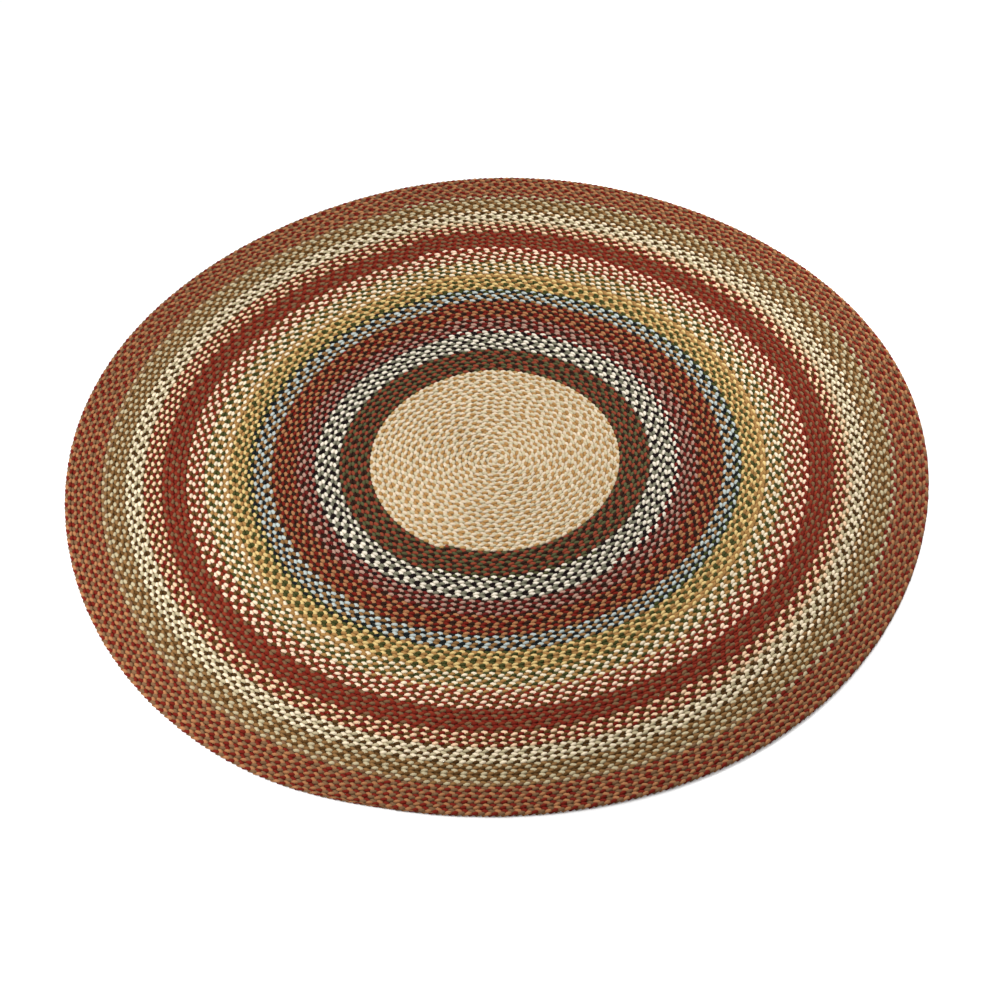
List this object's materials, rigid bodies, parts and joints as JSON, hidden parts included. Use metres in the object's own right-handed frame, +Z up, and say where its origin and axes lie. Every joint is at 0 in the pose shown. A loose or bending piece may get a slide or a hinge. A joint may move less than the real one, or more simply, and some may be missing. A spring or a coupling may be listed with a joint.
{
  "type": "braided rug",
  "caption": "Round rug of one flat three-strand braid, coiled from the middle outwards and laced turn to turn, in concentric rings of mixed colours.",
  "frame": {"origin": "middle of the underside", "axes": "+Z up out of the face that is walked on; X and Y lie in the floor, and the rug is seen from the -Y side"},
  "size_m": [1.829, 1.822, 0.009],
  "materials": {
    "braid": "matte braided cloth",
    "tan_ring": "matte braided cloth",
    "brown_ring": "matte braided cloth",
    "black_and_white_ring": "matte braided cloth",
    "burgundy_ring": "matte braided cloth",
    "rust_ring": "matte braided cloth",
    "blue_ring": "matte braided cloth",
    "gold_ring": "matte braided cloth",
    "cream_and_green_ring": "matte braided cloth",
    "cream_and_red_ring": "matte braided cloth",
    "red_ring": "matte braided cloth",
    "cream_red_and_olive_ring": "matte braided cloth",
    "cream_and_brown_ring": "matte braided cloth",
    "olive_brown_ring": "matte braided cloth",
    "outer_ring": "matte braided cloth"
  },
  "bodies": {
    "root": {"braided_rug": "braid"}
  },
  "joints": []
}
